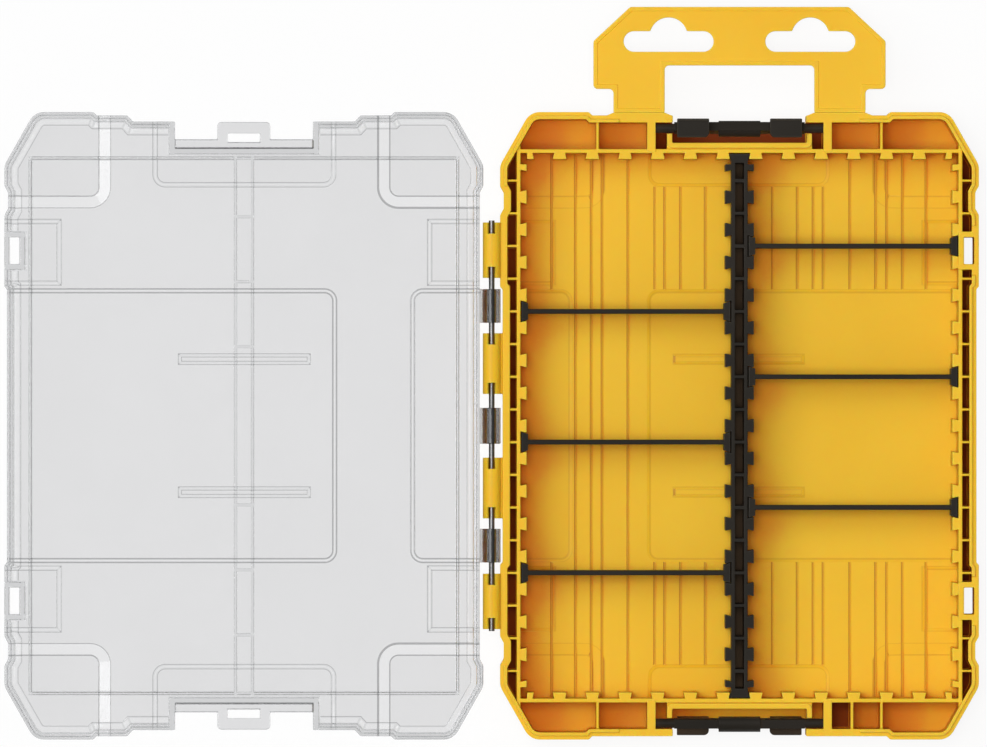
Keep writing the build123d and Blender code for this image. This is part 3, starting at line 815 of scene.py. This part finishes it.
@dataclass(frozen=True)
class Rounding:
    """How far each edge can be rounded before its neighbours get in the way.

    A rounding of radius r uses up a length of each edge at a corner: r over the tangent of half the
    corner's angle where both of its edges are rounded. Where only one is, r over the sine of the angle
    goes from the other, and r over the tangent of an acute angle from itself. An edge's limit is its
    length over what its two ends use. Two edges that face each other across a face share the gap
    between them. Edges that run on into each other get the smallest limit of their run, so that a
    rounding keeps its width.

    Attributes:
        radius: The radius of an edge with nothing in its way.
        least_turn: The angle between two faces at which their edge is rounded.
        least_slope: The smaller angle that is enough where just one of the faces is level.
        straight: The angle under which an edge runs on into the next.
        safety: How much more room than a rounding uses is kept for it.
        steepest: The most radii that a rounding uses of an edge that is not rounded.
        facing_reach: The widest gap between facing edges that counts, in radii.
    """

    radius: float
    least_turn: float = math.radians(28.0)
    least_slope: float = math.radians(28.0)
    straight: float = math.radians(30.0)
    safety: float = 1.15
    steepest: float = 4.0
    facing_reach: float = 2.5

    def shares(self, mesh: Mesh) -> np.ndarray:
        """Works out the share of the radius that each edge gets: the least room round it over the radius.

        Args:
            mesh: The mesh.

        Returns:
            The shares, from 0 to 1.
        """
        corners = Corners.read(mesh)
        turning = corners.turning_edges(self.least_turn, self.least_slope)
        used = self.length_used(corners, turning)
        edge_room = corners.length / np.maximum(used.sum(axis=1) * self.safety, TINY)
        point_room = np.full(len(corners.place), np.inf)
        for end in (0, 1):
            taken = used[:, end] > 0.0
            np.minimum.at(point_room, corners.ends[taken, end], edge_room[taken])
        points, across, gap = corners.facing_edges(turning, self.facing_reach * self.radius)
        half = gap / (2.0 * self.safety)
        np.minimum.at(point_room, points, half)
        np.minimum.at(edge_room, across, half)
        room = np.minimum(point_room[corners.ends].min(axis=1), edge_room)
        share = np.where(turning, np.minimum(room / self.radius, 1.0), 0.0)
        return self.even_runs(corners, turning, share)

    def length_used(self, corners: Corners, turning: np.ndarray) -> np.ndarray:
        """Works out the length that roundings use at both ends of each edge, by the class's formula.

        Args:
            corners: The mesh's corners.
            turning: Which edges turn.

        Returns:
            The two lengths of each edge, as multiples of the radius.
        """
        half = np.clip(corners.angle, LEAST_ANGLE, np.pi) / 2.0
        meet = np.where(corners.angle < np.pi, 1.0 / np.tan(half), 0.0)
        slide = np.clip(1.0 / np.maximum(np.abs(np.sin(corners.angle)), TINY), 1.0, self.steepest)
        acute = np.clip(corners.angle, LEAST_ANGLE, np.pi / 2.0)
        lean = np.where(corners.angle < np.pi / 2.0, 1.0 / np.tan(acute), 0.0)
        used = np.zeros((len(corners.ends), 2))
        sides = (corners.edge, corners.edge[corners.before])
        for own, other in (sides, sides[::-1]):
            alone = np.where(turning[other], slide, np.where(turning[own], lean, 0.0))
            use = np.where(turning[own] & turning[other], meet, alone)
            end = (corners.ends[own, 1] == corners.point).astype(int)
            np.maximum.at(used, (own, end), use)
        return used

    def even_runs(self, corners: Corners, turning: np.ndarray, share: np.ndarray) -> np.ndarray:
        """Brings each run of edges down to its smallest share, over and over until nothing changes.

        Args:
            corners: The mesh's corners.
            turning: Which edges turn.
            share: The share of each edge.

        Returns:
            The evened shares.
        """
        one, other = corners.edge, corners.edge[corners.before]
        joined = turning[one] & turning[other] & (np.abs(corners.angle - np.pi) < self.straight)
        one, other = one[joined], other[joined]
        settled = False
        while not settled:
            last = share.copy()
            np.minimum.at(share, one, share[other])
            np.minimum.at(share, other, share[one])
            settled = np.array_equal(last, share)
        return share


@dataclass(frozen=True)
class Outlines:
    """How strongly the painted shade lines show: on the borders of shallow steps, and on the steep edges of
    low relief.

    Attributes:
        shallow: The strength on rounded faces that lie nearly level.
        steep: The strength on steep rounded faces of the relief.
        relief: Half the relief's box along X and Y, and its height.
        strip_width: The width under which a level strip of the relief is the top of a fine rib.
        along_y, rib_top: The shares of the steep strength on faces that look along Y and on a rib's top.
        sideways: The size of a normal's X past which a face looks along X.
    """

    shallow: float = 0.0
    steep: float = 0.0
    relief: Point = (0.0, 0.0, 0.0)
    strip_width: float = 0.0009
    along_y: float = 0.12
    rib_top: float = 0.66
    sideways: float = 0.1

    def strength(self, mesh: Mesh, rounded: np.ndarray) -> np.ndarray:
        """Works out how strongly the painted shade lines cover each face of a mesh.

        A rounded face that lies nearly level gets the shallow strength. A steep one inside the relief's
        box gets the steep strength where it looks along -X, a share of it where it looks along Y, and
        none where it looks along +X, which paints shade on one side of each rib. The top of a fine rib
        in the box gets another share of it.

        Args:
            mesh: The mesh, with each face's corners stored in the order of the faces.
            rounded: True for a face made by the rounding.

        Returns:
            The strength at each face, from 0 to 1.
        """
        normals = read_array(mesh.polygons, "normal", 3)
        low = (np.abs(read_array(mesh.polygons, "center", 3)) < np.array(self.relief)).all(axis=1)
        level = np.abs(normals[:, 2]) > NEARLY_LEVEL
        looks = [normals[:, 0] < -self.sideways, normals[:, 0] > self.sideways]
        edges = np.where(level, self.shallow, self.steep * low * np.select(looks, [1.0, 0.0], self.along_y))
        strips = self.rib_top * self.steep * (low & level & (face_spans(mesh)[:, 0] < self.strip_width))
        return np.where(rounded, edges, strips)


@dataclass(frozen=True)
class Shafts:
    """The narrow shafts in the ring round the bay, whose floors see little light and get painted deep shade.

    Attributes:
        width: The width of the widest; 0 where the node has none.
        top: The height under which their floors lie.
        ring: Half the bay along X and Y, outside which they lie.
        open_y, open_length: The Y past which the recess of the standing latch lies, and the length along X
            past which a floor there is the recess's own, which the light reaches.
    """

    width: float = 0.0
    top: float = 0.02
    ring: Span = (0.0765, 0.0975)
    open_y: float = -0.0975
    open_length: float = 0.02

    def floors(self, mesh: Mesh) -> np.ndarray:
        """Finds the shafts' floors: level, low, outside the bay, and with an area under width times diagonal.

        Args:
            mesh: The mesh, with each face's corners stored in the order of the faces.

        Returns:
            True for each face that is such a floor.
        """
        centres = read_array(mesh.polygons, "center", 3)
        spans = face_spans(mesh)
        narrow = read_array(mesh.polygons, "area", 1) < self.width * np.hypot(spans[:, 0], spans[:, 1])
        upward = read_array(mesh.polygons, "normal", 3)[:, 2] > NEARLY_LEVEL
        outside = (np.abs(centres[:, :2]) > np.array(self.ring)).any(axis=1)
        lit = (centres[:, 1] < self.open_y) & (spans[:, 0] > self.open_length)
        return narrow & upward & outside & ~lit & (centres[:, 2] < self.top)


@dataclass(frozen=True)
class MouldedCopy:
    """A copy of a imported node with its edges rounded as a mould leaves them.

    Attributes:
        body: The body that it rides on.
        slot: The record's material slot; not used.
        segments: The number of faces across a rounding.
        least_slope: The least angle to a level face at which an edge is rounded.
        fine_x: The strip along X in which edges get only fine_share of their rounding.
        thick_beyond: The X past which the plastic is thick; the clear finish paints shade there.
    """

    node: str
    body: str
    slot: str
    radius: float
    segments: int = 2
    least_slope: float = math.radians(28.0)
    outlines: Outlines = Outlines()
    shafts: Shafts = Shafts()
    fine_x: Span = (0.0, 0.0)
    fine_share: float = 0.4
    thick_beyond: float = math.inf

    def build(self, frame: dict, material: Material) -> Object:
        """Makes the copy and puts it in the node's place.

        The node's loose triangles are welded, flat neighbours are joined to whole faces, and every
        edge that turns enough is rounded as far as its neighbours leave room.

        Args:
            material: The finish.

        Returns:
            The new object.
        """
        mesh = self.weld(frame["nodes"][self.node].data)
        mesh.materials.clear()
        for _ in range(ROUNDED_SLOT + 1):
            mesh.materials.append(material)
        copy = bpy.data.objects.new(f"{self.node}_moulded", mesh)
        bpy.context.scene.collection.objects.link(copy)
        bevel = copy.modifiers.new("mould_radius", "BEVEL")
        bevel.width = self.radius
        bevel.segments = self.segments
        bevel.limit_method = "WEIGHT"
        bevel.use_clamp_overlap = False
        bevel.loop_slide = False
        bevel.material = ROUNDED_SLOT
        even = copy.modifiers.new("even_normals", "WEIGHTED_NORMAL")
        even.weight = EVEN_WEIGHT
        self.settle(copy)
        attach(copy, self.body)
        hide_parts(self.node)
        log.info("%s: %d faces", copy.name, len(copy.data.polygons))
        return copy

    def weld(self, packed: Mesh) -> Mesh:
        """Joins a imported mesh's triangles to whole faces and stores the share of the rounding on each edge.

        Args:
            packed: The node's own mesh, which stays as it is.

        Returns:
            The new mesh.
        """
        mesh = bpy.data.meshes.new(f"{self.node}_moulded")
        shape = bmesh.new()
        shape.from_mesh(packed)
        bmesh.ops.remove_doubles(shape, verts=shape.verts, dist=WELD_DISTANCE)
        bmesh.ops.dissolve_limit(
            shape, angle_limit=FLAT_ANGLE, use_dissolve_boundaries=False, verts=shape.verts, edges=shape.edges
        )
        shape.to_mesh(mesh)
        shape.free()
        mesh.polygons.foreach_set("use_smooth", np.ones(len(mesh.polygons), dtype=bool))
        share = Rounding(self.radius, least_slope=self.least_slope).shares(mesh)
        ends = read_array(mesh.edges, "vertices", 2, np.int32)
        across = read_array(mesh.vertices, "co", 3)[ends, 0]
        fine = ((across > self.fine_x[0]) & (across < self.fine_x[1])).all(axis=1)
        share *= np.where(fine, self.fine_share, 1.0)
        stored = mesh.attributes.new(BEVEL_SHARE, "FLOAT", "EDGE")
        stored.data.foreach_set("value", share.astype(np.float32))
        return mesh

    def settle(self, copy: Object) -> None:
        """Applies the modifiers and stores the marks on the faces.

        Args:
            copy: The copy, whose rounded faces are in their own material slot until this is done.
        """
        graph = bpy.context.evaluated_depsgraph_get()
        finished = bpy.data.meshes.new_from_object(copy.evaluated_get(graph))
        finished.name = copy.data.name
        rounded = read_array(finished.polygons, "material_index", 1, np.int32) == ROUNDED_SLOT
        lean = np.abs(read_array(finished.polygons, "normal", 3)[:, 2])
        # Marks for the painted tints: shade lines, highlights on slopes, shade on thick parts and deep shade
        # in shafts.
        marks = {
            Mark.ROUNDED: rounded,
            Mark.OUTLINE: self.outlines.strength(finished, rounded),
            Mark.SLOPED: ~rounded & (lean > LEANING) & (lean < LEVEL),
            Mark.THICK: read_array(finished.polygons, "center", 3)[:, 0] > self.thick_beyond,
            Mark.SHAFT_SHADE: self.shafts.floors(finished),
        }
        for which, values in marks.items():
            stored = finished.attributes.new(which.value, "FLOAT", "FACE")
            stored.data.foreach_set("value", values.astype(np.float32))
        finished.polygons.foreach_set("material_index", np.zeros(len(rounded), dtype=np.int32))
        finished.materials.pop(index=ROUNDED_SLOT)
        copy.modifiers.clear()
        copy.data = finished


# ------------------------ studio


@dataclass(frozen=True)
class Studio:
    """Floor, lamps, world and camera, in metres and watts, but for the view's pixels and the lens in mm.

    Attributes:
        floor_glow: The share of plain white in what is seen of the floor, straight or through the lid.
        mm_per_pixel: The scale at the rims' height, focus_z.
        key_offset: Where the key lamp stands from the middle of the view, centre_x and centre_y.
        fill_offset: Where the overhead lamp stands from there.
        dome_rise: The Z of a direction where the dome starts to brighten, and where it is brightest.
        dome_strength: The dome's strength at those two.
    """

    floor_size: float = 6.0
    floor_drop: float = 0.0002
    floor_grey: float = 0.86
    floor_roughness: float = 0.9
    floor_glow: float = 0.9
    view_width: int = 987
    mm_per_pixel: float = 0.3585
    centre_x: float = -0.0882
    centre_y: float = 0.01875
    focus_z: float = 0.032
    lens: float = 900.0
    sensor_width: float = 36.0
    camera_clip: Span = (0.1, 40.0)
    key_offset: Point = (-0.95, 0.32, 2.4)
    key_size: float = 1.4
    key_power: float = 24.0
    fill_offset: Point = (0.0, 0.0, 2.6)
    fill_size: float = 0.5
    fill_power: float = 32.0
    dome_rise: Span = (0.7, 1.0)
    dome_strength: Span = (0.15, 0.5)

    def build(self) -> None:
        """Builds the studio."""
        self.build_floor()
        self.build_lamps()
        self.build_world()
        self.build_camera()

    def build_floor(self) -> None:
        """Makes the floor: one square sheet, white where nothing shades it."""
        half = self.floor_size / 2
        corners = np.array([(-half, -half), (half, -half), (half, half), (-half, half)])
        points = np.column_stack([corners, np.full(4, -self.floor_drop)])
        mesh = bpy.data.meshes.new("studio_floor")
        mesh.from_pydata(points.tolist(), [], [(0, 1, 2, 3)])
        floor = bpy.data.objects.new("studio_floor", mesh)
        bpy.context.scene.collection.objects.link(floor)
        material, wiring, shader, output = fresh_material("studio_white")
        grey = opaque((self.floor_grey,) * 3)
        wiring.fill(shader, Base_Color=grey, Roughness=self.floor_roughness, Specular_IOR_Level=0.0)
        path = wiring.node("ShaderNodeLightPath")
        seen = wiring.math(Sum.LARGER, path.outputs["Is Camera Ray"], path.outputs["Is Transmission Ray"])
        glow = wiring.node("ShaderNodeEmission", Color=WHITE)
        wiring.fill(output, Surface=wiring.blend(wiring.product(seen, self.floor_glow), shader, glow))
        mesh.materials.append(material)

    def build_lamps(self) -> None:
        """Makes the lamps: a soft key from the upper left and a fill overhead that leaves no reflection."""
        self.build_lamp("key_lamp", self.key_offset, self.key_size, self.key_power)
        fill = self.build_lamp("overhead_lamp", self.fill_offset, self.fill_size, self.fill_power)
        fill.visible_glossy = False
        fill.visible_transmission = False

    def build_lamp(self, name: str, offset: Point, size: float, power: float) -> Object:
        """Makes one square lamp that faces the middle of the view.

        Args:
            name: The lamp's name.
            offset: Where it stands from there.
            size: Its side.
            power: Its power.

        Returns:
            The lamp.
        """
        data = bpy.data.lights.new(name, "AREA")
        data.shape = "SQUARE"
        data.size = size
        data.energy = power
        lamp = bpy.data.objects.new(name, data)
        lamp.location = Vector((self.centre_x, self.centre_y, 0.0)) + Vector(offset)
        lamp.rotation_euler = (-Vector(offset)).to_track_quat("-Z", "Y").to_euler()
        lamp.visible_camera = False
        bpy.context.scene.collection.objects.link(lamp)
        return lamp

    def build_world(self) -> None:
        """Makes a soft dome that is brightest overhead, and sets the plain view transform."""
        world = bpy.data.worlds.new("studio_world")
        world.use_nodes = True
        bpy.context.scene.world = world
        wiring = Wiring(world.node_tree)
        direction = wiring.node("ShaderNodeTexCoord").outputs["Generated"]
        strength = wiring.span(wiring.height(direction), self.dome_rise, self.dome_strength)
        wiring.fill(world.node_tree.nodes["Background"], Color=WHITE, Strength=strength)
        bpy.context.scene.view_settings.view_transform = "Standard"

    def build_camera(self) -> None:
        """Makes a long lens straight overhead: its distance is the view's width times lens over sensor."""
        data = bpy.data.cameras.new("camera")
        data.sensor_width = self.sensor_width
        data.lens = self.lens
        data.clip_start, data.clip_end = self.camera_clip
        distance = self.view_width * self.mm_per_pixel * MM * self.lens / self.sensor_width
        camera = bpy.data.objects.new("camera", data)
        camera.location = (self.centre_x, self.centre_y, self.focus_z + distance)
        bpy.context.scene.collection.objects.link(camera)
        bpy.context.scene.camera = camera


# ------------------------ the case


@dataclass(frozen=True)
class Tray:
    """The yellow half, its hang tab and the pin through its knuckles.

    Attributes:
        least_slope: The least slope of a low step whose border shows.
        pad_lines: How strongly the painted shade lines on the borders of pads and panels show.
        ridge_lines: How strongly the painted shade lines on the fine ribs show.
        relief: Half the box of the floor's relief along X and Y, and its height.
    """

    wall_radius: float = 0.00035
    tab_radius: float = 0.0004
    least_slope: float = math.radians(3.0)
    pad_lines: float = 0.2
    ridge_lines: float = 0.8
    relief: Point = (0.0695, 0.0948, 0.0031)
    shaft_width: float = 0.005

    def build(self, frame: dict, finishes: Finishes) -> None:
        """Builds the tray and the tab, and gives the pin its finish.

        Args:
            finishes: The finishes.
        """
        tray = MouldedCopy(
            "tray",
            "tray",
            "tray",
            self.wall_radius,
            least_slope=self.least_slope,
            outlines=Outlines(self.pad_lines, self.ridge_lines, self.relief),
            shafts=Shafts(self.shaft_width),
        )
        tray.build(frame, finishes.yellow)
        MouldedCopy("hang_tab", "tray", "tray", self.tab_radius).build(frame, finishes.yellow)
        for slot in frame["nodes"]["hinge_pin"].material_slots:
            slot.material = finishes.steel


@dataclass(frozen=True)
class Lid:
    """The clear half.

    Attributes:
        least_slope: The least slope of a low step whose border shows.
        rails: The strip along X that the two centre rails take, where edges are rounded less.
        knuckles_x: The X past which its hinge knuckles lie, which get painted shade.
    """

    wall_radius: float = 0.0004
    segments: int = 3
    least_slope: float = math.radians(4.0)
    # Strength of the painted shade lines on the borders of its pads and panels.
    painted_outline_shade: float = 1.0
    rails: Span = (-0.1825, -0.1729)
    knuckles_x: float = -0.0922

    def build(self, frame: dict, finishes: Finishes) -> None:
        """Builds the lid.

        Args:
            finishes: The finishes.
        """
        lid = MouldedCopy(
            "lid",
            "lid",
            "lid",
            self.wall_radius,
            self.segments,
            self.least_slope,
            Outlines(self.painted_outline_shade),
            fine_x=self.rails,
            thick_beyond=self.knuckles_x,
        )
        lid.build(frame, finishes.clear)


@dataclass(frozen=True)
class Latches:
    """The two black hooked latches, with the rounding of their edges."""

    nodes: tuple[str, ...] = ("latch_top", "latch_bottom")
    radius: float = 0.00035

    def build(self, frame: dict, finishes: Finishes) -> None:
        """Builds both latches from the loaded frame and the finishes."""
        for node in self.nodes:
            MouldedCopy(node, node, "black", self.radius).build(frame, finishes.black)


@dataclass(frozen=True)
class Dividers:
    """The black centre divider and the cross dividers that hang on it, with the rounding of their edges."""

    radius: float = 0.0003

    def build(self, frame: dict, finishes: Finishes) -> None:
        """Builds every divider.

        Args:
            finishes: The finishes.
        """
        for node in frame["nodes"]:
            if "divider" in node:
                MouldedCopy(node, node, "black", self.radius).build(frame, finishes.black)


def main() -> None:
    """Builds the scene."""
    logging.basicConfig(level=logging.INFO, format="%(name)s: %(message)s")
    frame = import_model()
    effects = Effects.build()
    finishes = Finishes.build(effects)
    for part in (Tray(), Lid(), Latches(), Dividers()):
        part.build(frame, finishes)
        log.info("built %s", type(part).__name__)
    Studio().build()


if __name__ == "__main__":
    main()
